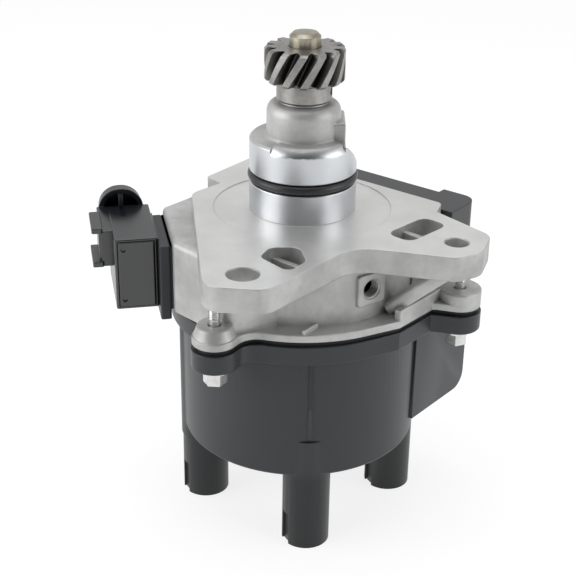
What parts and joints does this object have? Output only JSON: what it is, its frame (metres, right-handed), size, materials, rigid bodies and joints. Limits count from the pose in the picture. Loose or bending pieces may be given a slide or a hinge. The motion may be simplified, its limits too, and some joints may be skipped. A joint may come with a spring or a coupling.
{
  "type": "ignition distributor",
  "caption": "Cam-driven ignition distributor with cast flanged housing, helical drive gear, side igniter with loom socket, built-in coil and dark cap with upright lead towers.",
  "frame": {"origin": "on the shaft axis, on the flange face that seats on the engine", "axes": "+Z along the shaft into the engine, towards the drive gear; the cap's lead towers point to -Z; the large mounting ear is towards -Y, the small one towards +X and -Y, and the loom socket is on the -X side"},
  "size_m": [0.1572, 0.1489, 0.1996],
  "materials": {
    "cast_alloy": "as cast with machined faces",
    "o_ring_rubber": "satin",
    "gear_steel": "machined, oiled",
    "shaft_steel": "ground",
    "bearing_steel": "ground",
    "bush_bronze": "sintered",
    "zinc_steel": "bright zinc plate",
    "pressed_steel": "stamped",
    "pickup_plastic": "moulded",
    "gasket_rubber": "matt",
    "cap_plastic": "satin moulding",
    "terminal_metal": "turned",
    "conductor_brass": "stamped",
    "brush_carbon": "matt graphite",
    "rotor_plastic": "moulded",
    "coil_plastic": "moulded",
    "core_iron": "laminated",
    "plate_alloy": "as cast",
    "case_plastic": "moulded",
    "connector_plastic": "moulded",
    "pin_tin": "tin plate"
  },
  "bodies": {
    "root": {"housing": "cast_alloy", "pilot_o_ring": "o_ring_rubber", "nose_bush": "bush_bronze", "shaft_oil_seal": "o_ring_rubber", "bearing_outer_race": "bearing_steel", "bearing_retainer": "pressed_steel", "retainer_screws": "zinc_steel", "pickup_poles": "core_iron", "speed_pickup_coil": "pickup_plastic", "cylinder_pickup_coil": "pickup_plastic", "pickup_screws": "zinc_steel", "dust_cover": "case_plastic", "cap_gasket": "gasket_rubber", "cap": "cap_plastic", "cap_terminals": "terminal_metal", "centre_conductor": "conductor_brass", "brush_spring": "zinc_steel", "cap_screws": "zinc_steel", "coil_case": "coil_plastic", "coil_core": "core_iron", "coil_terminal": "conductor_brass", "coil_screws": "zinc_steel", "module_gasket": "gasket_rubber", "module_plate": "plate_alloy", "module_screws": "zinc_steel", "igniter_case": "case_plastic", "igniter_cover": "case_plastic", "connector_socket": "connector_plastic", "connector_terminals": "pin_tin"},
    "rotor": {"shaft": "shaft_steel", "drive_gear": "gear_steel", "gear_pin": "bearing_steel", "thrust_washer": "pressed_steel", "bearing_inner_race": "bearing_steel", "speed_wheel": "pressed_steel", "cylinder_wheel": "pressed_steel", "rotor_arm": "rotor_plastic", "rotor_blade": "conductor_brass", "rotor_screw": "zinc_steel"},
    "cage": {"bearing_cage": "pressed_steel", "bearing_balls": "bearing_steel"},
    "brush": {"carbon_brush": "brush_carbon"}
  },
  "joints": [
    {"name": "shaft_spin", "type": "hinge", "parent": "root", "child": "rotor", "pos_m": [0, 0, 0], "axis": [0, 0, 1], "continuous": true},
    {"name": "cage_spin", "type": "hinge", "parent": "root", "child": "cage", "pos_m": [0, 0, 0], "axis": [0, 0, 1], "continuous": true},
    {"name": "brush_slide", "type": "slide", "parent": "root", "child": "brush", "axis": [0, 0, -1], "range_m": [0, 0.0015], "stiffness_N_per_m": 200, "springref_m": -0.004, "deforming": ["brush_spring"]}
  ],
  "couplings": [
    {"joint": "cage_spin", "follows": "shaft_spin", "ratio": 0.37104}
  ]
}
